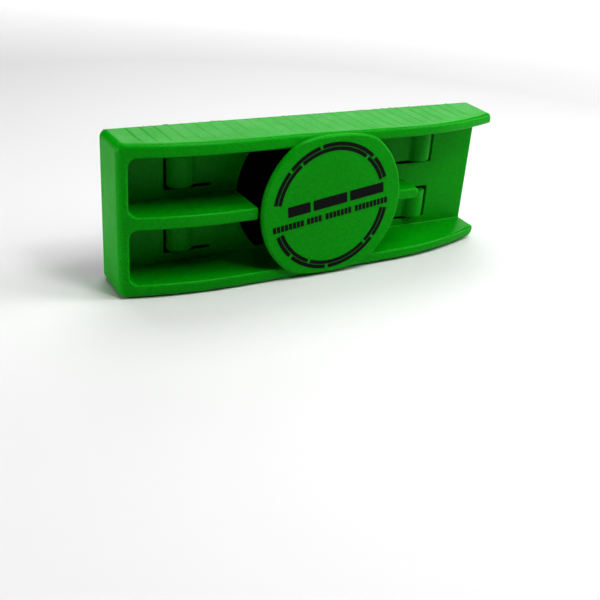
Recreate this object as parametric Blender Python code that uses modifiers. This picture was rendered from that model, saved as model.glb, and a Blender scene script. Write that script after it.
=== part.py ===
"""Magnetic whiteboard eraser with two marker-pen channels, for Blender 4.5.

The eraser stands on one long edge. X runs along its length, from the closed end (-X) to the
open end (+X) where the marker pens go in. The handle side faces -Y, the felt faces +Y, and Z is
the height of the eraser as it stands. Depths are measured from the felt's wiping face towards
the handle side, and stations are measured from the moulding's closed end along +X.
"""
import math

import bmesh
import bpy
from mathutils import Matrix, Vector

MM = 0.001

# ---- driving dimensions ------------------------------------------------------------------
SHELL_LENGTH = 150.7 * MM
HEIGHT = 52.4 * MM
WIPING_FACE_Y = 13.0 * MM         # Y of the felt's wiping face
CLEARANCE = 0.3 * MM              # between solids that touch on the real eraser

# ---- layers under the wiping face, as depths ----------------------------------------------
FELT_DEPTHS = (0.0, 2.3 * MM)
FILM_DEPTHS = (2.45 * MM, 2.6 * MM)
SHELL_BACK = 2.75 * MM
FLOOR_UNDERSIDE = 5.6 * MM
FLOOR_TOP = 7.6 * MM

# ---- shell -------------------------------------------------------------------------------
WALL = 4.5 * MM                   # long side walls
END_WALL = 3.4 * MM               # wall of the closed end
RIB = 4.4 * MM                    # rib between the two marker channels
SKIRT = 2.2 * MM                  # rim around the hollow underside
WEB = 1.8 * MM                    # cross webs under the floor
WEB_GAPS = (2.0 * MM, 3.0 * MM)   # from a clip's free end and from its root to the webs
POCKET_CORNER = 1.0 * MM          # corners of the hollow underside
CREST_DEPTH = 25.9 * MM           # front edge of the side walls where it runs level
CREST_STATIONS = (40.0 * MM, 105.0 * MM)
CLOSED_END_DROP = 5.6 * MM        # fall of the front edge from there to either end
OPEN_END_DROP = 9.0 * MM
END_CORNER = 2.7 * MM             # the four outer corners
CHANNEL_CORNER = 3.0 * MM         # inner corners of the marker channels

# ---- label disc and the floor opening under it ---------------------------------------------
DISC_STATION = SHELL_LENGTH / 2
DISC_RADIUS = 28.5 * MM
DISC_DEPTHS = (25.2 * MM, 27.4 * MM)
DISC_FLAT_INSET = 0.7 * MM
DISC_RIM = 0.7 * MM
OPENING_STATION = 75.6 * MM       # the clips mirror about it
OPENING_RADIUS = 28.6 * MM
RIB_SETBACK = 0.4 * MM            # from the opening's edge to the long rib's end
STUB_STATIONS = (104.5 * MM, 113.6 * MM)
STUB_WIDTH = 4.2 * MM             # short rib past the disc, a little slimmer than the long one

# ---- sprung marker clips -------------------------------------------------------------------
CLIP_FREE_STATION = 21.0 * MM     # free end, near the closed end; the others are mirrored
CLIP_ROOT_STATION = 37.2 * MM
CLIP_HEIGHTS = (9.2 * MM, 20.1 * MM)
CLIP_THICKNESS = 1.3 * MM
CLIP_SLIT = 1.0 * MM
HUMP_LENGTH = 9.6 * MM
HUMP_RISE = 2.6 * MM

# ---- grip grooves on the long outer faces ----------------------------------------------------
GROOVE_PITCH = 4.8 * MM
GROOVE_FIRST_STATION = 8.0 * MM
GROOVE_COUNT = 28
GROOVE_HALF_WIDTH = 0.55 * MM
GROOVE_DEPTH = 0.35 * MM

# ---- felt, adhesive film and magnets ---------------------------------------------------------
FELT_HEIGHTS = (0.4 * MM, 51.2 * MM)
FELT_INSETS = (1.6 * MM, 1.2 * MM)     # from the closed end and from the open end
FELT_CORNERS = (0.3 * MM, 1.5 * MM)    # at the closed end and at the open end
FILM_MARGIN = 0.8 * MM
FILM_CORNER = 1.2 * MM
MAGNET_WIDTH = 12.7 * MM
MAGNET_LENGTH = 44.0 * MM
MAGNET_DEPTHS = (3.0 * MM, 5.2 * MM)
MAGNET_CORNER = 0.5 * MM

ARC_STEPS = 6
MIDDLE = HEIGHT / 2
CUT_MARGIN = 3.0 * MM             # how far a cutter runs past the face that it opens

GREEN = (0.012, 0.275, 0.016, 1.0)
BLACK_FELT = (0.006, 0.006, 0.007, 1.0)
DARK_FILM = (0.004, 0.004, 0.005, 1.0)
FERRITE = (0.030, 0.028, 0.027, 1.0)


def x_at(station):
    """Row X of a station measured from the moulding's closed end."""
    return station - SHELL_LENGTH / 2


def y_at(depth):
    """Row Y of a depth measured from the wiping face."""
    return WIPING_FACE_Y - depth


def mirrored(station):
    """The station opposite this one about the middle of the floor opening."""
    return 2 * OPENING_STATION - station


# ---- shared makers -----------------------------------------------------------------------------
def new_material(name, colour, roughness, metallic=0.0):
    material = bpy.data.materials.new(name)
    material.use_nodes = True
    shader = material.node_tree.nodes["Principled BSDF"]
    shader.inputs["Base Color"].default_value = colour
    shader.inputs["Roughness"].default_value = roughness
    shader.inputs["Metallic"].default_value = metallic
    return material


def new_collection(name):
    collection = bpy.data.collections.new(name)
    bpy.context.scene.collection.children.link(collection)
    return collection


def arc(centre, radius, start, end, steps=ARC_STEPS):
    """Points of an arc, angles in degrees, both ends included."""
    points = []
    for i in range(steps + 1):
        angle = math.radians(start + (end - start) * i / steps)
        points.append((centre[0] + radius * math.cos(angle), centre[1] + radius * math.sin(angle)))
    return points


def rounded_rectangle(x_low, x_high, y_low, y_high, radii):
    """Outline with one radius per corner: low-low, high-low, high-high, low-high."""
    corners = ((x_low, y_low, 1, 1, 180), (x_high, y_low, -1, 1, 270),
               (x_high, y_high, -1, -1, 0), (x_low, y_high, 1, -1, 90))
    points = []
    for (x, y, sx, sy, start), radius in zip(corners, radii):
        points += arc((x + sx * radius, y + sy * radius), radius, start, start + 90)
    return points


def prism(name, outlines, low, high, along_depth=False):
    """A solid with flat ends. Outlines lie in X-Y and rise along Z from low to high, or with
    along_depth they lie in X-Z and run along Y. An outline inside another one is a hole."""
    curve = bpy.data.curves.new(name, "CURVE")
    curve.dimensions = "2D"
    curve.fill_mode = "BOTH"
    curve.extrude = (high - low) / 2
    for outline in outlines:
        spline = curve.splines.new("POLY")
        spline.points.add(len(outline) - 1)
        for point, (x, y) in zip(spline.points, outline):
            point.co = (x, y, 0.0, 1.0)
        spline.use_cyclic_u = True
    drawn = bpy.data.objects.new(name + "_outline", curve)
    bpy.context.scene.collection.objects.link(drawn)
    middle = (low + high) / 2
    if along_depth:
        drawn.matrix_world = Matrix.Translation((0, middle, 0)) @ Matrix.Rotation(math.pi / 2, 4, "X")
    else:
        drawn.matrix_world = Matrix.Translation((0, 0, middle))
    bpy.context.view_layer.update()
    evaluated = drawn.evaluated_get(bpy.context.evaluated_depsgraph_get())
    mesh = bpy.data.meshes.new_from_object(evaluated)
    mesh.transform(drawn.matrix_world)
    bpy.data.objects.remove(drawn)
    close_mesh(mesh)
    return bpy.data.objects.new(name, mesh)


def close_mesh(mesh):
    """Weld a prism's caps to its sides and turn every face outwards."""
    shape = bmesh.new()
    shape.from_mesh(mesh)
    bmesh.ops.remove_doubles(shape, verts=shape.verts, dist=0.001 * MM)
    bmesh.ops.recalc_face_normals(shape, faces=shape.faces)
    shape.to_mesh(mesh)
    shape.free()


def add_piece(obj, material, parts):
    obj.data.materials.clear()
    obj.data.materials.append(material)
    parts.objects.link(obj)
    return obj


def cut(target, cutter, cutters, operation="DIFFERENCE"):
    """Cut a target with a cutter, which stays in the scene as a wire guide."""
    cutters.objects.link(cutter)
    cutter.display_type = "WIRE"
    cutter.hide_render = True
    modifier = target.modifiers.new(cutter.name, "BOOLEAN")
    modifier.operation = operation
    modifier.solver = "EXACT"
    modifier.object = cutter


def move_origin(obj, point):
    """Put an object's origin on a point without moving its shape."""
    obj.data.transform(Matrix.Translation(-Vector(point)))
    obj.location = point


# ---- outlines ------------------------------------------------------------------------------------
def front_edge_depth(station):
    """Depth of the side walls' front edge: level in the middle, falling away to both ends."""
    start, end = CREST_STATIONS
    towards_closed = max(0.0, (start - station) / start)
    towards_open = max(0.0, (station - end) / (SHELL_LENGTH - end))
    return CREST_DEPTH - CLOSED_END_DROP * towards_closed ** 2 - OPEN_END_DROP * towards_open ** 2


def side_profile():
    """Outline of the shell seen from a long side, in X-Y. It runs past both ends."""
    far = SHELL_LENGTH + CUT_MARGIN
    outline = [(-CUT_MARGIN, SHELL_BACK), (far, SHELL_BACK)]
    steps = 32
    for i in range(steps + 1):
        station = far - (far + CUT_MARGIN) * i / steps
        outline.append((station, front_edge_depth(station)))
    return [(x_at(station), y_at(depth)) for station, depth in outline]


def plan_outline():
    """Outline of the shell seen from the handle side, in X-Z, with its grip grooves."""
    grooves = []
    for i in range(GROOVE_COUNT):
        station = GROOVE_FIRST_STATION + i * GROOVE_PITCH
        grooves += [(station - GROOVE_HALF_WIDTH, 0.0), (station, GROOVE_DEPTH),
                    (station + GROOVE_HALF_WIDTH, 0.0)]
    r = END_CORNER
    outline = grooves + arc((SHELL_LENGTH - r, r), r, -90, 0)
    outline += arc((SHELL_LENGTH - r, HEIGHT - r), r, 0, 90)
    outline += [(station, HEIGHT - z) for station, z in reversed(grooves)]
    outline += arc((r, HEIGHT - r), r, 90, 180)
    outline += arc((r, r), r, 180, 270)
    return [(x_at(station), z) for station, z in outline]


def channels_outline():
    """Marker channels in X-Z: one pocket, with the rib between them reaching in."""
    low, high = WALL, HEIGHT - WALL
    rib_low, rib_high = MIDDLE - RIB / 2, MIDDLE + RIB / 2
    near, rib_end = END_WALL, OPENING_STATION - OPENING_RADIUS - RIB_SETBACK
    far = SHELL_LENGTH + CUT_MARGIN
    r = CHANNEL_CORNER
    outline = [(far, low)]
    outline += arc((near + r, low + r), r, 270, 180)
    outline += arc((near + r, rib_low - r), r, 180, 90)
    outline += [(rib_end, rib_low), (rib_end, rib_high)]
    outline += arc((near + r, rib_high + r), r, 270, 180)
    outline += arc((near + r, high - r), r, 180, 90)
    outline += [(far, high)]
    return [(x_at(station), z) for station, z in outline]


def stub_outline():
    """Short rib past the disc, with a round end, in X-Z."""
    start, end = STUB_STATIONS
    radius = STUB_WIDTH / 2
    outline = [(start, MIDDLE - radius)]
    outline += arc((end - radius, MIDDLE), radius, -90, 90, 2 * ARC_STEPS)
    outline += [(start, MIDDLE + radius)]
    return [(x_at(station), z) for station, z in outline]


def clipped_disc(station, radius, flat_low, flat_high, steps=16):
    """Circle about a station at half height, cut off at two heights, in X-Z."""
    angle = math.degrees(math.asin((flat_high - MIDDLE) / radius))
    angle_low = math.degrees(math.asin((MIDDLE - flat_low) / radius))
    centre = (x_at(station), MIDDLE)
    right = arc(centre, radius, -angle_low, angle, steps)
    left = arc(centre, radius, 180 - angle, 180 + angle_low, steps)
    return right + left


def clip_profile(side):
    """A clip seen from a long side, in X-Y; side is 1 for the closed end's clips."""
    def place(station):
        return x_at(station) if side > 0 else x_at(mirrored(station))

    half = HUMP_LENGTH / 2
    hump_radius = (half ** 2 + HUMP_RISE ** 2) / (2 * HUMP_RISE)
    crown = (CLIP_FREE_STATION + half, FLOOR_TOP + HUMP_RISE - hump_radius)
    spread = math.degrees(math.asin(half / hump_radius))
    underside = FLOOR_TOP - CLIP_THICKNESS
    outline = [(CLIP_ROOT_STATION, underside), (CLIP_ROOT_STATION, FLOOR_TOP)]
    outline += arc(crown, hump_radius, 90 - spread, 90 + spread, 12)
    outline += [(CLIP_FREE_STATION, underside)]
    return [(place(station), y_at(depth)) for station, depth in outline]


# ---- pieces ------------------------------------------------------------------------------------
def cut_floor(shell, cutters):
    """Round opening under the disc, and a window for each clip."""
    opening = clipped_disc(OPENING_STATION, OPENING_RADIUS, WALL + CLEARANCE, HEIGHT - WALL - CLEARANCE)
    front, back = y_at(FLOOR_TOP + CUT_MARGIN / 2), y_at(FLOOR_UNDERSIDE - CUT_MARGIN / 2)
    cut(shell, prism("cut_floor_opening", [opening], front, back, True), cutters)
    windows = []
    for side in (1, -1):
        for low, high in (CLIP_HEIGHTS, (HEIGHT - CLIP_HEIGHTS[1], HEIGHT - CLIP_HEIGHTS[0])):
            stations = (CLIP_FREE_STATION - CLIP_SLIT, CLIP_ROOT_STATION + CLEARANCE)
            if side < 0:
                stations = (mirrored(stations[1]), mirrored(stations[0]))
            windows.append([(x_at(stations[0]), low - CLIP_SLIT), (x_at(stations[1]), low - CLIP_SLIT),
                            (x_at(stations[1]), high + CLIP_SLIT), (x_at(stations[0]), high + CLIP_SLIT)])
    cut(shell, prism("cut_clip_windows", windows, front, back, True), cutters)


def cut_underside(shell, cutters):
    """Shallow compartments under the floor, parted by cross webs."""
    web_starts = (CLIP_FREE_STATION - WEB_GAPS[0] - WEB, CLIP_ROOT_STATION + WEB_GAPS[1])
    edges = [SKIRT]
    for start in web_starts:
        edges += [start, start + WEB]
    edges += [mirrored(edge) for edge in reversed(edges[1:])] + [SHELL_LENGTH - SKIRT]
    pockets = []
    for low, high in zip(edges[0::2], edges[1::2]):
        pockets.append(rounded_rectangle(x_at(low), x_at(high), SKIRT, HEIGHT - SKIRT,
                                         [POCKET_CORNER] * 4))
    cut(shell, prism("cut_underside", pockets, y_at(FLOOR_UNDERSIDE),
                     y_at(SHELL_BACK - CUT_MARGIN), True), cutters)


def make_shell(material, parts, cutters):
    """One moulding: floor, side walls, end wall and ribs, open at +X."""
    block = prism("body_shell", [side_profile()], -CUT_MARGIN, HEIGHT + CUT_MARGIN)
    shell = add_piece(block, material, parts)
    front = y_at(CREST_DEPTH + CUT_MARGIN)
    plan = prism("keep_plan", [plan_outline()], front, y_at(-CUT_MARGIN), True)
    cut(shell, plan, cutters, "INTERSECT")
    cut(shell, prism("cut_channels", [channels_outline(), stub_outline()], front, y_at(FLOOR_TOP), True),
        cutters)
    cut_floor(shell, cutters)
    cut_underside(shell, cutters)
    seat = clipped_disc(DISC_STATION, DISC_RADIUS + CLEARANCE, -CUT_MARGIN / 2, HEIGHT + CUT_MARGIN / 2, 20)
    cut(shell, prism("cut_disc_seat", [seat], front, y_at(DISC_DEPTHS[0] - CLEARANCE), True), cutters)
    return shell


def make_label_disc(material, parts):
    """Round plate that bridges the side walls over the channels."""
    outline = clipped_disc(DISC_STATION, DISC_RADIUS, DISC_FLAT_INSET, HEIGHT - DISC_FLAT_INSET, 20)
    disc = prism("label_disc", [outline], y_at(DISC_DEPTHS[1]), y_at(DISC_DEPTHS[0]), True)
    add_piece(disc, material, parts)
    rim = disc.modifiers.new("rim", "BEVEL")
    rim.width = DISC_RIM
    rim.segments = 2
    rim.limit_method = "ANGLE"
    rim.angle_limit = math.radians(60)
    disc.data.shade_smooth()
    disc.data.set_sharp_from_angle(angle=math.radians(35))
    return disc


def make_clips(material, parts):
    """Four sprung tongues in the floor; each origin is on its bending line."""
    upper = (HEIGHT - CLIP_HEIGHTS[1], HEIGHT - CLIP_HEIGHTS[0])
    for end, side in (("closed", 1), ("open", -1)):
        for row, (low, high) in (("lower", CLIP_HEIGHTS), ("upper", upper)):
            clip = prism("clip_%s_%s" % (end, row), [clip_profile(side)], low, high)
            add_piece(clip, material, parts)
            root = CLIP_ROOT_STATION if side > 0 else mirrored(CLIP_ROOT_STATION)
            move_origin(clip, (x_at(root), y_at(FLOOR_TOP - CLIP_THICKNESS / 2), (low + high) / 2))


def make_felt(material, parts):
    """Wiping pad, square at the closed end and rounded at the open end."""
    near, far = FELT_INSETS[0], SHELL_LENGTH - FELT_INSETS[1]
    low, high = FELT_HEIGHTS
    square, rounded = FELT_CORNERS
    outline = rounded_rectangle(x_at(near), x_at(far), low, high, (square, rounded, rounded, square))
    felt = prism("felt_pad", [outline], y_at(FELT_DEPTHS[1]), y_at(FELT_DEPTHS[0]), True)
    return add_piece(felt, material, parts)


def make_film(material, parts):
    """Self-adhesive backing between the felt and the shell's rim."""
    near, far = FELT_INSETS[0] + FILM_MARGIN, SHELL_LENGTH - FELT_INSETS[1] - FILM_MARGIN
    low, high = FELT_HEIGHTS[0] + FILM_MARGIN, FELT_HEIGHTS[1] - FILM_MARGIN
    outline = rounded_rectangle(x_at(near), x_at(far), low, high, [FILM_CORNER] * 4)
    film = prism("adhesive_film", [outline], y_at(FILM_DEPTHS[1]), y_at(FILM_DEPTHS[0]), True)
    return add_piece(film, material, parts)


def make_magnets(material, parts):
    """A flat magnet strip in the end compartment at each end."""
    pocket_end = CLIP_FREE_STATION - WEB_GAPS[0] - WEB
    closed_middle = (SKIRT + pocket_end) / 2
    open_middle = (mirrored(pocket_end) + SHELL_LENGTH - SKIRT) / 2
    for name, middle in (("magnet_closed", closed_middle), ("magnet_open", open_middle)):
        outline = rounded_rectangle(x_at(middle - MAGNET_WIDTH / 2), x_at(middle + MAGNET_WIDTH / 2),
                                    MIDDLE - MAGNET_LENGTH / 2, MIDDLE + MAGNET_LENGTH / 2,
                                    [MAGNET_CORNER] * 4)
        magnet = prism(name, [outline], y_at(MAGNET_DEPTHS[1]), y_at(MAGNET_DEPTHS[0]), True)
        add_piece(magnet, material, parts)


def main():
    for obj in list(bpy.data.objects):
        bpy.data.objects.remove(obj)
    parts = new_collection("whiteboard_eraser")
    cutters = new_collection("cutters")
    green = new_material("green_plastic", GREEN, 0.42)
    felt = new_material("black_felt", BLACK_FELT, 0.95)
    film = new_material("adhesive", DARK_FILM, 0.5)
    ferrite = new_material("rubber_ferrite", FERRITE, 0.6)
    make_shell(green, parts, cutters)
    make_label_disc(green, parts)
    make_clips(green, parts)
    make_felt(felt, parts)
    make_film(film, parts)
    make_magnets(ferrite, parts)


main()
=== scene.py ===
import math

import bmesh
import bpy
import numpy as np
from mathutils import Matrix, Vector


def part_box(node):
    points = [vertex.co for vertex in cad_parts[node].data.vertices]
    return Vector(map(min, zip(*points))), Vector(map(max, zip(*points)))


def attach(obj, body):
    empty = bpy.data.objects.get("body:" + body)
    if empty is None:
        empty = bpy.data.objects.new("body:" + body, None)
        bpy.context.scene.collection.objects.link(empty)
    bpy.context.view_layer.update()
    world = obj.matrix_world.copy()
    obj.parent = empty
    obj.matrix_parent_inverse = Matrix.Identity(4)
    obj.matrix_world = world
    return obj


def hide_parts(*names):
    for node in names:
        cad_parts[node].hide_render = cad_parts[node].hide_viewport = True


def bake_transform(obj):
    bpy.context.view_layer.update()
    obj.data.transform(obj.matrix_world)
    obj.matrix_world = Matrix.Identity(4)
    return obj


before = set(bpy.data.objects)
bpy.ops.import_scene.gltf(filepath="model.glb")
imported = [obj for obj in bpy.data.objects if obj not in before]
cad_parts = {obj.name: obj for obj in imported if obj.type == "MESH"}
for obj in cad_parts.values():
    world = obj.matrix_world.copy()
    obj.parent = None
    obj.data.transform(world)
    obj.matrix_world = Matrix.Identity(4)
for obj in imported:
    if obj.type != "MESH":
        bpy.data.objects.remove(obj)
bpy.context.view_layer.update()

MM = 0.001
DISC_FACE_SETBACK = 0.05         # leaves room for the ink inside the plate's CAD box
DISC_RIM_SETBACK = 0.4

# ---- places read from the frame, in millimetres ------------------------------------------------
shell_low, shell_high = (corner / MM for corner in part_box("body_shell"))
disc_low, disc_high = (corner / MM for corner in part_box("label_disc"))
felt_low, felt_high = (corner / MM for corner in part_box("felt_pad"))
clip_low, clip_high = (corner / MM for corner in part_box("clip_closed_lower"))
far_clip_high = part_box("clip_open_lower")[1] / MM
HEIGHT = shell_high.z
MIDDLE = HEIGHT / 2
LENGTH = shell_high.x - shell_low.x
WIPING_FACE = felt_high.y
SHELL_BACK = WIPING_FACE - shell_high.y
DISC_BACK = WIPING_FACE - disc_high.y
DISC_FRONT = WIPING_FACE - disc_low.y - DISC_FACE_SETBACK
DISC_STATION = (disc_low.x + disc_high.x) / 2 - shell_low.x
DISC_RADIUS = (disc_high.x - disc_low.x) / 2 - DISC_RIM_SETBACK
CLIP_FREE = clip_low.x - shell_low.x
CLIP_ROOT = clip_high.x - shell_low.x
CLIP_LOW, CLIP_HIGH = clip_low.z, clip_high.z
OPENING_STATION = (clip_low.x + far_clip_high.x) / 2 - shell_low.x

# ---- the moulding's own sizes, in millimetres ----------------------------------------------------
FLOOR_TOP = 7.6
FLOOR_UNDERSIDE = 5.6
WALL = 4.5
WALL_DRAFT = 0.7                 # the side walls thicken by this much towards the floor
RIB_DRAFT = 0.35                 # and the rib and stub by this much on each side
END_WALL = 3.4
RIB_HALF, RIB_END, RIB_CORNER = 2.2, 46.9, 0.8
STUB_START, STUB_END, STUB_HALF = 100.0, 113.6, 2.1
CREST_DEPTH, CREST_STATIONS = 25.9, (40.0, 105.0)
CLOSED_END_DROP, OPEN_END_DROP = 5.6, 9.0
LEAN, LEAN_START = 1.5, 60.0     # the side walls' outer faces lean in towards the open end
END_CORNER, OPEN_CORNER, CHANNEL_CORNER = 2.5, 2.8, 3.0
CLOSED_END_EDGE, OPEN_END_EDGE = 2.0, 1.1
EDGE_STATIONS = (20.0, 110.0)    # between these the edge changes from the closed end's to the open end's
BACK_EDGE, RIM_EDGE, FLOOR_FILLET = 0.8, 1.0, 0.5
DISC_CORNER, DISC_EDGE = 3.5, 1.0
OPENING_RADIUS = 28.6
OPENING_EDGE, DISC_FILLET = 0.25, 0.2
OPENING_MARGIN = 0.1             # keeps the opening's straight sides clear of the side walls
SLIT = 1.0
WINDOW_CORNER = 0.8
WINDOW_OVERRUN = 0.3             # of the windows past the clips' roots
CUT_HEIGHT = 1.5                 # how far the floor's cuts run on above it
CLIP_THICKNESS = 1.3
CLIP_CORNER, CLIP_EDGE, CLIP_FILLET = 0.9, 0.3, 0.6
CLIP_FACE_RISE = 0.015           # keeps the tongue's face clear of the floor's face
ROOT_REACH = 4.5                 # how far a tongue runs on into the floor past its hinge
SINK_START, SINK_SLOPE = 1.6, 0.16
HUMP_LENGTH, HUMP_RISE = 9.6, 2.6
HUMP_SINK = 0.6                  # how far the hump runs on below the floor's face
GROOVE_FIRST, GROOVE_PITCH, GROOVE_COUNT = 8.0, 4.8, 28
GROOVE_HALF, GROOVE_DEPTH = 0.6, 0.18
GROOVE_FRONT_GAP, GROOVE_FRONT_FADE, GROOVE_BACK_GAP = 1.5, 3.0, 0.8
SKIRT, SKIRT_CORNER = 2.2, 1.0
WEB, WEB_GAPS = 1.8, (1.0, 3.0)  # of the webs from the clips' slits and from their roots
WEB_EDGE = 0.4
THIN_FLOOR = 0.8                 # the floor is pared down around the clips
THIN_MARGINS = (2.5, 1.0, 3.0)   # of that area past a clip's free end, short of its root, and beside it
THIN_OVERLAP = 1.0               # how far its hollow runs into the one below
BEYOND = 20.0                    # the channels' hollow runs on this far past the open end


# ---- implicit solids: functions that are negative inside, in millimetres -------------------------
def both(a, b, radius=0.0):
    """Inside a and inside b, with the edge between them rounded."""
    u, v = np.maximum(a + radius, 0), np.maximum(b + radius, 0)
    return np.minimum(np.maximum(a, b), -radius) + np.hypot(u, v)


def either(a, b, radius=0.0):
    """Inside a or inside b, with the corner between them filled."""
    return -both(-a, -b, radius)


def slab(x, low, high):
    """Between two values of one coordinate."""
    return np.abs(x - (low + high) / 2) - (high - low) / 2


def rounded_box(x, y, x_low, x_high, y_low, y_high, radius):
    """Rectangle with round corners in two of the coordinates."""
    return both(slab(x, x_low, x_high), slab(y, y_low, y_high), radius)


def mirrored(station):
    """The station opposite this one about the middle of the floor opening."""
    return 2 * OPENING_STATION - station


def folded(s, z):
    """The place in the lower channel's closed end that stands for this one and its mirror images."""
    return np.minimum(s, mirrored(s)), np.minimum(z, HEIGHT - z)


def front_edge(s, d):
    """Distance in front of the side walls' front edge: level in the middle, falling away to both ends."""
    start, end = CREST_STATIONS
    left = np.maximum(start - s, 0) / start
    right = np.maximum(s - end, 0) / (LENGTH - end)
    edge = CREST_DEPTH - CLOSED_END_DROP * left ** 2 - OPEN_END_DROP * right ** 2
    fall = 2 * CLOSED_END_DROP * left / start - 2 * OPEN_END_DROP * right / (LENGTH - end)
    return (d - edge) / np.sqrt(1 + fall ** 2)


def lean(s, d):
    """How far a side wall's outer face leans in at a place."""
    share = np.clip((s - LEAN_START) / (LENGTH - LEAN_START), 0, 1)
    return LEAN * share * (d - SHELL_BACK) / CREST_DEPTH


def groove_depth(s, d):
    """Depth of the grip grooves, which die out short of the front and back edges."""
    phase = np.abs((s - GROOVE_FIRST + GROOVE_PITCH / 2) % GROOVE_PITCH - GROOVE_PITCH / 2)
    last = GROOVE_FIRST + (GROOVE_COUNT - 1) * GROOVE_PITCH
    among = (s > GROOVE_FIRST - GROOVE_PITCH / 2) & (s < last + GROOVE_PITCH / 2)
    fade = np.clip((-front_edge(s, d) - GROOVE_FRONT_GAP) / GROOVE_FRONT_FADE, 0, 1)
    fade = fade * np.clip(d - SHELL_BACK - GROOVE_BACK_GAP, 0, 1)
    return np.where(among, GROOVE_DEPTH * fade * np.clip(1 - phase / GROOVE_HALF, 0, 1), 0.0)


def outer_field(s, d, z):
    """The moulding's outside, as if it were solid."""
    v = np.abs(z - MIDDLE) - MIDDLE + lean(s, d) + groove_depth(s, d)
    closed = s < LENGTH / 2
    plan = both(np.where(closed, -s, s - LENGTH), v, np.where(closed, END_CORNER, OPEN_CORNER))
    edge = np.interp(s, EDGE_STATIONS, (CLOSED_END_EDGE, OPEN_END_EDGE))
    return both(both(plan, front_edge(s, d), edge), SHELL_BACK - d, BACK_EDGE)


def channel_field(s, d, z):
    """The hollow for two pens, with the rib and the stub left standing in it."""
    deep = np.clip((CREST_DEPTH - d) / (CREST_DEPTH - FLOOR_TOP), 0, 1)
    wall = WALL + WALL_DRAFT * deep
    pocket = rounded_box(s, z, END_WALL, LENGTH + BEYOND, wall, HEIGHT - wall, CHANNEL_CORNER)
    rib = both(np.abs(z - MIDDLE) - RIB_HALF - RIB_DRAFT * deep, s - RIB_END, RIB_CORNER)
    pocket = both(pocket, -rib, CHANNEL_CORNER)
    stub_half = STUB_HALF + RIB_DRAFT * deep
    along = s - np.clip(s, STUB_START, STUB_END - STUB_HALF)
    stub = np.maximum(np.hypot(along, z - MIDDLE) - stub_half, STUB_START - s)
    pocket = both(pocket, -stub)
    return both(pocket, FLOOR_TOP - d, FLOOR_FILLET)


def disc_field(s, d, z):
    """The label plate: a round one, cut flat where it meets the long sides."""
    round_plate = np.hypot(s - DISC_STATION, z - MIDDLE) - DISC_RADIUS
    plan = both(round_plate, slab(z, disc_low.z, disc_high.z), DISC_CORNER)
    return both(plan, slab(d, DISC_BACK, DISC_FRONT), DISC_EDGE)


def floor_cuts_field(s, d, z):
    """Round opening under the disc, and the clips' windows with their slits."""
    lowest = WALL + WALL_DRAFT + OPENING_MARGIN
    round_opening = np.hypot(s - OPENING_STATION, z - MIDDLE) - OPENING_RADIUS
    opening = both(round_opening, slab(z, lowest, HEIGHT - lowest))
    folded_s, folded_z = folded(s, z)
    window = rounded_box(folded_s, folded_z, CLIP_FREE - SLIT, CLIP_ROOT + WINDOW_OVERRUN,
                         CLIP_LOW - SLIT, CLIP_HIGH + SLIT, WINDOW_CORNER)
    return both(either(opening, window), d - FLOOR_TOP - CUT_HEIGHT)


def underside_field(s, d, z):
    """Compartments under the floor, parted by webs. The floor is thinner around the clips."""
    folded_s, folded_z = folded(s, z)
    first_web, second_web = CLIP_FREE - SLIT - WEB_GAPS[0] - WEB, CLIP_ROOT + WEB_GAPS[1]
    hollow = rounded_box(s, z, SKIRT, LENGTH - SKIRT, SKIRT, HEIGHT - SKIRT, SKIRT_CORNER)
    webs = either(slab(folded_s, first_web, first_web + WEB), slab(folded_s, second_web, second_web + WEB))
    hollow = both(both(hollow, -webs), d - FLOOR_UNDERSIDE, WEB_EDGE)
    free_margin, root_margin, side_margin = THIN_MARGINS
    around = rounded_box(folded_s, folded_z, CLIP_FREE - free_margin, CLIP_ROOT - root_margin,
                         CLIP_LOW - side_margin, CLIP_HIGH + side_margin, WINDOW_CORNER)
    pared = both(around, slab(d, FLOOR_UNDERSIDE - THIN_OVERLAP, FLOOR_TOP - THIN_FLOOR))
    return either(hollow, pared)


def shell_field(x, y, z):
    """Shell and label plate as one skin."""
    s, d = x - shell_low.x, WIPING_FACE - y
    body = both(outer_field(s, d, z), -channel_field(s, d, z), RIM_EDGE)
    body = both(body, -floor_cuts_field(s, d, z), OPENING_EDGE)
    body = both(body, -underside_field(s, d, z))
    return either(body, disc_field(s, d, z), DISC_FILLET)


def clip_field(end, row):
    """Sprung tongue with its hump. Its root sinks into the floor, so that the two read as one."""
    low, high = (CLIP_LOW, CLIP_HIGH) if row == "lower" else (HEIGHT - CLIP_HIGH, HEIGHT - CLIP_LOW)
    half = HUMP_LENGTH / 2
    radius = (half ** 2 + HUMP_RISE ** 2) / (2 * HUMP_RISE)

    def field(x, y, z):
        s, d = x - shell_low.x, WIPING_FACE - y
        if end == "open":
            s = mirrored(s)
        sink = SINK_SLOPE * np.maximum(s - CLIP_ROOT - SINK_START, 0)
        plate = slab(d, FLOOR_TOP - CLIP_THICKNESS, FLOOR_TOP + CLIP_FACE_RISE - sink)
        hump = np.hypot(s - CLIP_FREE - half, d - FLOOR_TOP - HUMP_RISE + radius) - radius
        hump = both(hump, FLOOR_TOP - HUMP_SINK - d)
        tall = either(plate, hump, CLIP_FILLET)
        plan = rounded_box(s, z, CLIP_FREE, CLIP_ROOT + 2 * ROOT_REACH, low, high, CLIP_CORNER)
        return both(both(tall, plan, CLIP_EDGE), s - CLIP_ROOT - ROOT_REACH)

    return field


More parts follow.
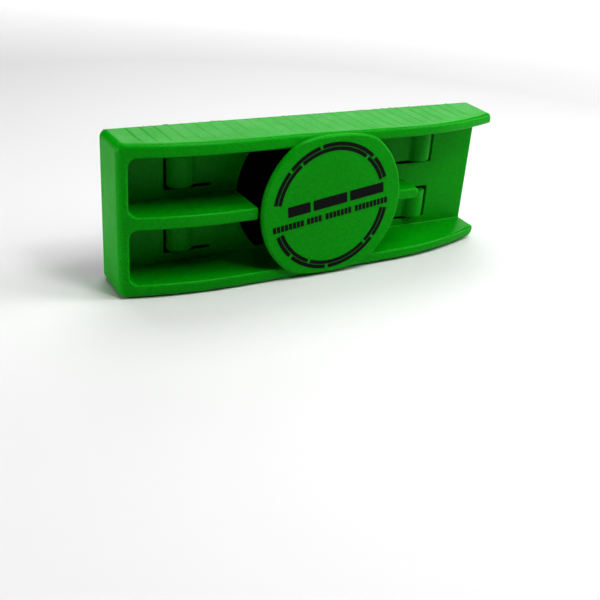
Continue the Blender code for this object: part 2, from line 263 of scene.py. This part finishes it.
# ---- meshes ------------------------------------------------------------------------------------
SHELL_STEP, CLIP_STEP, FELT_STEP = 0.4, 0.3, 0.5        # grid steps, in millimetres
SHELL_TRIANGLES, CLIP_TRIANGLES, FELT_TRIANGLES = 190000, 20000, 90000
SLOPE_REACH = 0.02                                      # in millimetres, to either side of a point
CORNERS = [np.array((i, j, k)) for i in (0, 1) for j in (0, 1) for k in (0, 1)]
CELL_EDGES = [(a, b) for a in CORNERS for b in CORNERS if (b - a).sum() == 1 and (b - a).min() == 0]


def slope(field, points):
    """Unit slope of a field at each point."""
    columns = []
    for axis in range(3):
        step = np.zeros(3)
        step[axis] = SLOPE_REACH
        columns.append(field(*(points + step).T) - field(*(points - step).T))
    direction = np.stack(columns, 1)
    return direction / np.maximum(np.linalg.norm(direction, axis=1, keepdims=True), 1e-9)


def surface_net(field, low, high, step):
    """Points and quads of the surface where a field is 0, in millimetres."""
    start = np.array(low) - 1.5 * step      # the grid has a spare cell or more on every side
    lines = [start[i] + step * np.arange(int((high[i] - low[i]) / step) + 4) for i in range(3)]
    value = field(*np.meshgrid(*lines, indexing="ij"))
    inside = value < 0
    size = np.array(value.shape) - 1
    count = sum(inside[tuple(slice(c, c + n) for c, n in zip(corner, size))].astype(np.int8)
                for corner in CORNERS)
    mixed = (count > 0) & (count < 8)
    cells = np.argwhere(mixed)
    number = np.full(mixed.shape, -1)
    number[mixed] = np.arange(len(cells))
    total, hits = np.zeros((len(cells), 3)), np.zeros(len(cells))
    for a, b in CELL_EDGES:
        at_a, at_b = value[tuple((cells + a).T)], value[tuple((cells + b).T)]
        crosses = (at_a < 0) != (at_b < 0)
        share = at_a[crosses] / (at_a[crosses] - at_b[crosses])
        total[crosses] += a + share[:, None] * (b - a)
        hits[crosses] += 1
    points = start + step * (cells + total / hits[:, None])
    for _ in range(4):                      # a few steps settle the points on the surface
        away = field(*points.T)[:, None] * slope(field, points)
        points -= np.clip(away, -step / 2, step / 2)
    quads = []
    for axis in range(3):
        u, v = np.eye(3, dtype=int)[(axis + 1) % 3], np.eye(3, dtype=int)[(axis + 2) % 3]
        first, last = [slice(None)] * 3, [slice(None)] * 3
        first[axis], last[axis] = slice(0, -1), slice(1, None)
        lower, upper = inside[tuple(first)], inside[tuple(last)]
        nodes = np.argwhere(lower != upper)
        ring = [number[tuple((nodes - shift).T)] for shift in (u + v, v, 0 * u, u)]
        faces = np.stack(ring, 1)
        turned = ~lower[tuple(nodes.T)]
        faces[turned] = faces[turned][:, ::-1]
        quads.append(faces)
    return points, np.concatenate(quads)


def add_object(name, data):
    obj = bpy.data.objects.new(name, data)
    bpy.context.scene.collection.objects.link(obj)
    return obj


def apply_modifiers(obj):
    """The object's mesh becomes what its modifiers make of it."""
    bpy.context.view_layer.update()
    evaluated = obj.evaluated_get(bpy.context.evaluated_depsgraph_get())
    mesh = bpy.data.meshes.new_from_object(evaluated)
    obj.modifiers.clear()
    obj.data = mesh


def carve(name, field, low, high, step, most_triangles):
    """An object for a field, thinned to a budget of triangles where the surface is flat."""
    points, quads = surface_net(field, low, high, step)
    mesh = bpy.data.meshes.new(name)
    mesh.from_pydata((points * MM).tolist(), [], quads.tolist())
    mesh.update()
    mesh.shade_smooth()
    obj = add_object(name, mesh)
    if 2 * len(quads) > most_triangles:
        thin = obj.modifiers.new("thin", "DECIMATE")
        thin.ratio = most_triangles / (2 * len(quads))
        apply_modifiers(obj)
    obj.data.shade_smooth()
    co = np.empty(3 * len(obj.data.vertices), np.float32)
    obj.data.vertices.foreach_get("co", co)
    obj.data.normals_split_custom_set_from_vertices(slope(field, co.reshape(-1, 3) / MM).tolist())
    return obj


# ---- materials -----------------------------------------------------------------------------------
class Nodes:
    """Short names for building a node tree."""

    def __init__(self, name):
        self.material = bpy.data.materials.new(name)
        self.material.use_nodes = True
        self.tree = self.material.node_tree
        self.shader = self.tree.nodes["Principled BSDF"]
        self.place = self.add("ShaderNodeTexCoord").outputs["Object"]

    def feed(self, socket, source):
        """Give an input an output to follow or a value to hold."""
        if isinstance(source, bpy.types.NodeSocket):
            self.tree.links.new(source, socket)
        else:
            socket.default_value = source

    def add(self, kind, links=(), **settings):
        node = self.tree.nodes.new(kind)
        for key, value in settings.items():
            setattr(node, key, value)
        for socket, source in dict(links).items():
            self.feed(node.inputs[socket], source)
        return node

    def noise(self, scale, detail=2.0, roughness=0.5, distortion=0.0):
        """Noise with a scale in waves per millimetre."""
        links = {"Vector": self.place, "Scale": scale / MM, "Detail": detail, "Roughness": roughness,
                 "Distortion": distortion}
        return self.add("ShaderNodeTexNoise", links).outputs["Fac"]

    def ramp(self, source, stops):
        node = self.add("ShaderNodeValToRGB", {"Fac": source})
        elements = node.color_ramp.elements
        while len(elements) < len(stops):
            elements.new(0.5)
        for element, (position, colour) in zip(elements, stops):
            element.position = position
            element.color = (*colour, 1.0)
        return node.outputs["Color"]

    def level(self, source, low, high, to_low, to_high):
        links = {"Value": source, "From Min": low, "From Max": high, "To Min": to_low, "To Max": to_high}
        return self.add("ShaderNodeMapRange", links).outputs["Result"]

    def maths(self, operation, a, b):
        return self.add("ShaderNodeMath", {0: a, 1: b}, operation=operation).outputs["Value"]

    def mix(self, factor, a, b, blend="MIX"):
        """A mix of colours, whose sockets share their names with other kinds and so go by number."""
        links = {0: factor, 6: a, 7: b}
        return self.add("ShaderNodeMix", links, data_type="RGBA", blend_type=blend).outputs[2]

    def bump(self, height, strength, distance, under=None):
        links = {"Height": height, "Strength": strength, "Distance": distance * MM}
        if under is not None:
            links["Normal"] = under
        return self.add("ShaderNodeBump", links).outputs["Normal"]

    def finish(self, colour, roughness, normal, **others):
        """Feed the surface shader. Its other inputs are named with _ for the spaces."""
        sources = {"Base_Color": colour, "Roughness": roughness, "Normal": normal, **others}
        for socket, source in sources.items():
            self.feed(self.shader.inputs[socket.replace("_", " ")], source)
        return self.material


def green_plastic():
    """Satin moulded plastic: fine grain, faint flow clouds, pale scuffs on worn edges."""
    n = Nodes("green_plastic")
    clouds = n.ramp(n.noise(0.035, 3.0), [(0.3, (0.0006, 0.30, 0.0022)), (0.7, (0.0010, 0.34, 0.0036))])
    specks = n.ramp(n.noise(1.1, 3.0, 0.7), [(0.35, (0.86, 0.86, 0.86)), (0.65, (1.08, 1.08, 1.08))])
    colour = n.mix(1.0, clouds, specks, "MULTIPLY")
    edge = n.level(n.add("ShaderNodeNewGeometry").outputs["Pointiness"], 0.52, 0.60, 0.0, 1.0)
    scuff = n.maths("MULTIPLY", edge, n.level(n.noise(0.35, 4.0, 0.7), 0.45, 0.7, 0.0, 0.35))
    colour = n.mix(scuff, colour, (0.04, 0.38, 0.05, 1.0))
    roughness = n.level(n.noise(0.12, 4.0, 0.6), 0.3, 0.7, 0.30, 0.42)
    grain = n.bump(n.noise(3.2, 3.0, 0.65), 0.30, 0.05)
    normal = n.bump(n.noise(0.06, 2.0), 0.25, 0.25, grain)
    return n.finish(colour, roughness, normal, Specular_IOR_Level=0.10)


def black_felt():
    """Matted black wool with paler strands."""
    n = Nodes("black_felt")
    black, dark, pale = (0.0015, 0.0015, 0.0016), (0.009, 0.009, 0.0095), (0.040, 0.042, 0.040)
    wool = n.ramp(n.noise(0.9, 5.0, 0.75, 1.2), [(0.36, black), (0.62, dark), (0.78, pale)])
    normal = n.bump(n.noise(1.8, 5.0, 0.8, 1.5), 0.9, 0.35)
    return n.finish(wool, 0.96, normal, Sheen_Weight=0.05, Specular_IOR_Level=0.08)


def fibre(name, dark, light):
    """A loose fibre's material, between two colours."""
    n = Nodes(name)
    colour = n.ramp(n.noise(0.5, 2.0), [(0.3, dark), (0.7, light)])
    return n.finish(colour, 0.8, n.bump(n.noise(6.0), 0.4, 0.02), Specular_IOR_Level=0.25)


def black_ink():
    """Pad-printed ink: thin, a little worn."""
    n = Nodes("black_ink")
    worn = n.ramp(n.noise(2.4, 4.0, 0.7), [(0.55, (0.003, 0.003, 0.003)), (0.72, (0.004, 0.02, 0.005))])
    roughness = n.level(n.noise(0.8), 0.3, 0.7, 0.38, 0.55)
    return n.finish(worn, roughness, n.bump(n.noise(3.2, 3.0, 0.65), 0.25, 0.04), Specular_IOR_Level=0.12)


def dark_film():
    """Adhesive film in the gap between felt and rim."""
    n = Nodes("dark_film")
    colour = n.ramp(n.noise(0.4, 3.0), [(0.3, (0.001, 0.001, 0.001)), (0.7, (0.003, 0.003, 0.003))])
    return n.finish(colour, n.level(n.noise(1.5), 0.3, 0.7, 0.55, 0.8), n.bump(n.noise(2.0), 0.4, 0.05),
                    Specular_IOR_Level=0.05)


def ferrite():
    """Dark grey magnet material."""
    n = Nodes("ferrite")
    colour = n.ramp(n.noise(1.2, 4.0, 0.7), [(0.3, (0.020, 0.019, 0.018)), (0.7, (0.045, 0.042, 0.040))])
    roughness = n.level(n.noise(2.0), 0.3, 0.7, 0.5, 0.75)
    return n.finish(colour, roughness, n.bump(n.noise(4.0, 3.0), 0.5, 0.04))


# ---- green moulding ----------------------------------------------------------------------------
def dress(piece, material):
    """Give a piece its material."""
    piece.data.materials.clear()
    piece.data.materials.append(material)


def make_shell(material):
    """Shell and label plate, which are one moulding. Grid lines fall either side of a groove's middle."""
    step = SHELL_STEP
    low = (shell_low.x, disc_low.y, shell_low.z)
    high = (shell_high.x, shell_high.y, shell_high.z)
    shell = carve("moulded_shell", shell_field, low, high, step, SHELL_TRIANGLES)
    dress(shell, material)
    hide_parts("body_shell", "label_disc")
    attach(shell, "shell")


def make_clips(material):
    """The four tongues, each carved in place of its CAD part."""
    for end in ("closed", "open"):
        for row in ("lower", "upper"):
            body = "clip_%s_%s" % (end, row)
            low, high = (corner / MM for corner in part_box(body))
            reach = ROOT_REACH + 0.5
            low.x -= reach if end == "open" else 0
            high.x += reach if end == "closed" else 0
            field = clip_field(end, row)
            tongue = carve(body + "_tongue", field, low, high, CLIP_STEP, CLIP_TRIANGLES)
            dress(tongue, material)
            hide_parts(body)
            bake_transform(tongue)


# ---- print on the label plate, in millimetres and degrees ------------------------------------------
PRINT_TILT = 7.8
PRINT_OFFSET = (-0.65, -0.2)      # of the print's centre from the plate's
INK_FACE = (-0.02, 0.035)         # behind and in front of the plate's face
ARC_STEP = 3                      # between the points of an arc
OUTER_RING, INNER_RING = (21.95, 23.35), (20.35, 21.7)
# starts and ends of the arcs, first those of the upper half
OUTER_MARKS = ((15, 38, 41, 97, 99.5, 131, 134, 165), (-15, -43, -46, -97, -100, -139, -142, -165))
INNER_MARKS = ((15, 44, 47, 120, 122.5, 165), (-15, -52, -55, -118, -121, -165))
BARS = ((-17.4, -8.6), (-7.4, 6.2), (7.4, 21.4))
BAR_HEIGHTS = (0.3, 4.1)
BLOCK_GROUPS = ((-23.6, 8), (-10.3, 4), (-2.8, 7), (9.3, 9))           # start and number of blocks
BLOCK_PITCH, BLOCK_WIDTH, BLOCK_HEIGHTS = 1.55, 1.2, (-4.2, -1.9)


def ink_patch(shape, outline):
    """A thin raised patch from an outline in the print's own frame, in millimetres."""
    tilt = math.radians(PRINT_TILT)
    rings = []
    for lift in INK_FACE:
        ring = []
        for u, v in outline:
            x = shell_low.x + DISC_STATION + PRINT_OFFSET[0] + u * math.cos(tilt) - v * math.sin(tilt)
            z = MIDDLE + PRINT_OFFSET[1] + u * math.sin(tilt) + v * math.cos(tilt)
            ring.append(shape.verts.new((x * MM, (WIPING_FACE - DISC_FRONT - lift) * MM, z * MM)))
        rings.append(ring)
    back, front = rings
    shape.faces.new(front)
    shape.faces.new(list(reversed(back)))
    for i in range(len(outline)):
        j = (i + 1) % len(outline)
        shape.faces.new((front[i], back[i], back[j], front[j]))


def ring_sector(inner, outer, start, end):
    """Outline of a part of a ring, between two angles in degrees."""
    steps = max(2, int(abs(end - start) / ARC_STEP))
    angles = [math.radians(start + (end - start) * i / steps) for i in range(steps + 1)]
    near = [(inner * math.cos(a), inner * math.sin(a)) for a in angles]
    far = [(outer * math.cos(a), outer * math.sin(a)) for a in angles]
    return near + far[::-1]


def rectangle(u_low, u_high, v_low, v_high):
    """Outline of a bar."""
    return [(u_low, v_low), (u_high, v_low), (u_high, v_high), (u_low, v_high)]


def make_print(material):
    """A broken double ring and two rows of plain bars, which stand for printing without words."""
    shape = bmesh.new()
    for radii, halves in ((OUTER_RING, OUTER_MARKS), (INNER_RING, INNER_MARKS)):
        for marks in halves:
            for start, end in zip(marks[0::2], marks[1::2]):
                ink_patch(shape, ring_sector(*radii, start, end))
    for start, end in BARS:
        ink_patch(shape, rectangle(start, end, *BAR_HEIGHTS))
    for group_start, blocks in BLOCK_GROUPS:
        for i in range(blocks):
            start = group_start + BLOCK_PITCH * i
            ink_patch(shape, rectangle(start, start + BLOCK_WIDTH, *BLOCK_HEIGHTS))
    bmesh.ops.recalc_face_normals(shape, faces=shape.faces)
    mesh = bpy.data.meshes.new("label_print")
    shape.to_mesh(mesh)
    shape.free()
    piece = add_object("label_print", mesh)
    dress(piece, material)
    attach(piece, "shell")


# ---- felt pad, in millimetres ----------------------------------------------------------------------
CLOSED_END_CORNER, OPEN_END_CORNER, FELT_EDGE = 0.5, 1.6, 0.5
UNEVENNESS = 0.05
FIBRE_RINGS, FIBRE_SIDES = 6, 3
FIBRE_LOWEST = 0.15               # no fibre reaches below this height
WIPING_SHARE, LONG_SIDES_SHARE = 0.90, 0.98             # of the fibres: on the face, then on either edge
FIBRE_MARGIN = 0.4                # fibres start at least this far in from the felt's edges


def felt_field(x, y, z):
    """Slab with soft edges, nearly square at the closed end, and a faintly uneven face."""
    corner = np.where(x < 0, CLOSED_END_CORNER, OPEN_END_CORNER)
    plan = rounded_box(x, z, felt_low.x, felt_high.x, felt_low.z, felt_high.z, corner)
    waves = np.sin(0.9 * x + 1.3 * np.sin(0.7 * z)) + np.sin(1.1 * z + 1.7 * np.sin(0.5 * x))
    uneven = UNEVENNESS * waves
    return both(plan + 0.3 * uneven, slab(y, felt_low.y, felt_high.y) + uneven, FELT_EDGE)


def fibre_tube(random, centre, direction, lift, length, width):
    """Points and faces of one curled fibre: a three-sided tube that lies along the surface."""
    across = np.cross(lift, direction)
    curl, sway = random.uniform(-1.3, 1.3), random.uniform(-0.5, 0.5)
    hump = random.uniform(0.2, 1.0)
    t = np.linspace(-1, 1, FIBRE_RINGS)
    turn = curl * t
    along = (np.sin(turn) / curl if abs(curl) > 0.05 else t) * length / 2
    aside = ((1 - np.cos(turn)) / (abs(curl) + 0.05) + sway * t ** 3 * 0.3) * length / 2
    up = width * (0.4 + 2.2 * hump * (1 - t ** 2))
    path = centre + np.outer(along, direction) + np.outer(aside, across) + np.outer(up, lift)
    path[:, 2] = np.maximum(path[:, 2], FIBRE_LOWEST)
    points = []
    for k in range(FIBRE_RINGS):
        thick = width / 2 * (1 - 0.6 * abs(t[k]) ** 3)
        for side in range(FIBRE_SIDES):
            angle = 2 * math.pi * side / FIBRE_SIDES
            points.append(path[k] + thick * (math.cos(angle) * across + math.sin(angle) * lift))
    faces = []
    for k in range(FIBRE_RINGS - 1):
        for side in range(FIBRE_SIDES):
            a, b = (k * FIBRE_SIDES + i % FIBRE_SIDES for i in (side, side + 1))
            faces.append((a, b, b + FIBRE_SIDES, a + FIBRE_SIDES))
    faces.append(tuple(range(FIBRE_SIDES))[::-1])
    faces.append(tuple(range(len(points) - FIBRE_SIDES, len(points))))
    return points, faces


def make_fibres(name, material, seed, count, length, width):
    """Loose fibres over the wiping face and its edges."""
    random = np.random.default_rng(seed)
    points, faces = [], []
    for _ in range(count):
        share = random.random()
        x = random.uniform(felt_low.x + FIBRE_MARGIN, felt_high.x - FIBRE_MARGIN)
        y = random.uniform(felt_low.y + FIBRE_MARGIN, felt_high.y - FIBRE_MARGIN / 2)
        z = random.uniform(felt_low.z + FIBRE_MARGIN, felt_high.z - FIBRE_MARGIN)
        angle = random.uniform(0, 2 * math.pi)
        if share < WIPING_SHARE:
            centre, lift = (x, felt_high.y, z), (0.0, 1.0, 0.0)
            direction = (math.cos(angle), 0.0, math.sin(angle))
        elif share < LONG_SIDES_SHARE:
            up = random.random() < 0.5
            centre = (x, y, felt_high.z if up else felt_low.z)
            lift = (0.0, 0.0, 1.0 if up else -1.0)
            direction = (math.cos(angle), math.sin(angle), 0.0)
        else:
            far = random.random() < 0.5
            centre = (felt_high.x if far else felt_low.x, y, z)
            lift = (1.0 if far else -1.0, 0.0, 0.0)
            direction = (0.0, math.cos(angle), math.sin(angle))
        long = random.uniform(*length)
        wide = random.uniform(*width)
        tube, skin = fibre_tube(random, np.array(centre), np.array(direction), np.array(lift), long, wide)
        faces += [tuple(len(points) + i for i in corners) for corners in skin]
        points += tube
    mesh = bpy.data.meshes.new(name)
    mesh.from_pydata([tuple(p * MM) for p in points], [], faces)
    mesh.shade_smooth()
    piece = add_object(name, mesh)
    dress(piece, material)
    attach(piece, "shell")


def make_felt():
    """The pad and the loose fibres on it."""
    step = FELT_STEP
    felt = carve("felt_wiping_pad", felt_field, felt_low, felt_high, step, FELT_TRIANGLES)
    dress(felt, black_felt())
    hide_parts("felt_pad")
    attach(felt, "shell")
    few = 1
    make_fibres("felt_fibres_black", fibre("black_fibre", (0.003, 0.003, 0.003), (0.012, 0.012, 0.012)),
                seed=11, count=3000 // few, length=(1.0, 3.2), width=(0.09, 0.16))
    make_fibres("felt_fibres_grey", fibre("grey_fibre", (0.05, 0.053, 0.05), (0.17, 0.18, 0.17)),
                seed=12, count=3200 // few, length=(0.8, 2.6), width=(0.07, 0.12))
    make_fibres("felt_fibres_white", fibre("white_fibre", (0.25, 0.27, 0.25), (0.55, 0.57, 0.54)),
                seed=13, count=420 // few, length=(0.4, 1.3), width=(0.09, 0.18))


# ---- hidden pieces -------------------------------------------------------------------------------
def finish_hidden_pieces():
    """The film and the magnets keep their CAD shapes."""
    film, magnet = dark_film(), ferrite()
    for name, material in (("adhesive_film", film), ("magnet_closed", magnet), ("magnet_open", magnet)):
        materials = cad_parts[name].data.materials
        materials.clear()
        materials.append(material)


# ---- stage, in metres and degrees ------------------------------------------------------------------
AIM = Vector((0.0, 0.0, 0.03))    # where every light points
FLOOR_HALF, FLOOR_DROP = 6.0, 0.0002
GLOW_START, GLOW_FULL, GLOW = 0.35, 1.2, 1.3            # distances from the middle, and the strength
WHITE = (1.0, 1.0, 1.0, 1.0)
DISPLAY_GAMMA = 0.8               # deepens the contrast
CAMERA_PLACE = (-0.15508, -0.2530, 0.13155)
CAMERA_AZIMUTH, CAMERA_ELEVATION, CAMERA_ROLL = -31.16, 26.69, 4.52
CAMERA_LENS, CAMERA_SENSOR = 51.79, 36.0                # in millimetres


def make_floor():
    """A pale floor that glows in the distance, so that it runs into the white background."""
    n = Nodes("pale_floor")
    shade = n.ramp(n.noise(0.004, 2.0), [(0.3, (0.69, 0.69, 0.69)), (0.7, (0.71, 0.71, 0.71))])
    away = n.add("ShaderNodeVectorMath", {0: n.place}, operation="LENGTH").outputs["Value"]
    glow = n.level(away, GLOW_START, GLOW_FULL, 0.0, GLOW)
    grain = n.bump(n.noise(0.5), 0.05, 0.05)
    material = n.finish(shade, 0.75, grain, Emission_Color=WHITE, Emission_Strength=glow)
    mesh = bpy.data.meshes.new("floor")
    shape = bmesh.new()
    bmesh.ops.create_grid(shape, x_segments=1, y_segments=1, size=FLOOR_HALF)
    shape.to_mesh(mesh)
    shape.free()
    floor = add_object("floor", mesh)
    floor.location.z = -FLOOR_DROP
    floor.data.materials.append(material)


def make_light(name, place, size, watts):
    """A soft panel that faces the eraser and is not seen itself."""
    data = bpy.data.lights.new(name, "AREA")
    data.shape = "RECTANGLE"
    data.size, data.size_y = size
    data.energy = watts
    lamp = add_object(name, data)
    lamp.location = place
    lamp.visible_camera = False
    lamp.rotation_euler = (AIM - Vector(place)).to_track_quat("-Z", "Y").to_euler()


def make_stage():
    """Floor, lights, and a white background that only the camera sees."""
    make_floor()
    world = bpy.data.worlds.new("pale")
    bpy.context.scene.world = world
    world.use_nodes = True
    background = world.node_tree.nodes["Background"]
    background.inputs["Color"].default_value = WHITE
    path = world.node_tree.nodes.new("ShaderNodeLightPath")
    world.node_tree.links.new(path.outputs["Is Camera Ray"], background.inputs["Strength"])
    make_light("overhead", (0.02, 0.02, 0.95), (0.7, 0.4), 1.5)
    make_light("overhead_rear", (0.05, 0.45, 0.85), (0.7, 0.4), 3.2)
    make_light("rear", (0.50, 0.85, 0.50), (0.8, 0.5), 3.2)
    make_light("closed_end", (-0.65, 0.10, 0.15), (0.4, 0.3), 2.5)
    make_light("handle_side_high", (0.25, -0.50, 0.85), (0.2, 0.2), 2.8)
    make_light("handle_side_near", (0.05, -0.10, 0.40), (0.2, 0.1), 0.6)
    make_light("open_end_near", (0.35, -0.12, 0.45), (0.2, 0.2), 0.6)
    make_light("open_end_high", (0.50, -0.28, 0.35), (0.20, 0.25), 1.2)
    make_light("open_end_low", (0.66, -0.20, 0.16), (0.20, 0.25), 1.1)
    bpy.context.scene.view_settings.view_transform = "Standard"
    bpy.context.scene.view_settings.gamma = DISPLAY_GAMMA


def make_camera():
    """Above the handle side, off towards the closed end, and rolled a few degrees."""
    data = bpy.data.cameras.new("camera")
    data.sensor_width = CAMERA_SENSOR
    data.lens = CAMERA_LENS
    data.clip_start, data.clip_end = 0.01, 20.0
    camera = add_object("camera", data)
    camera.location = CAMERA_PLACE
    azimuth, elevation = math.radians(CAMERA_AZIMUTH), math.radians(CAMERA_ELEVATION)
    back = Vector((math.sin(azimuth) * math.cos(elevation), -math.cos(azimuth) * math.cos(elevation),
                   math.sin(elevation)))
    level = (-back).to_track_quat("-Z", "Y").to_matrix()
    camera.rotation_euler = (level @ Matrix.Rotation(math.radians(CAMERA_ROLL), 3, "Z")).to_euler()
    bpy.context.scene.camera = camera


make_camera()
green = green_plastic()
make_shell(green)
make_clips(green)
make_print(black_ink())
make_felt()
finish_hidden_pieces()
make_stage()
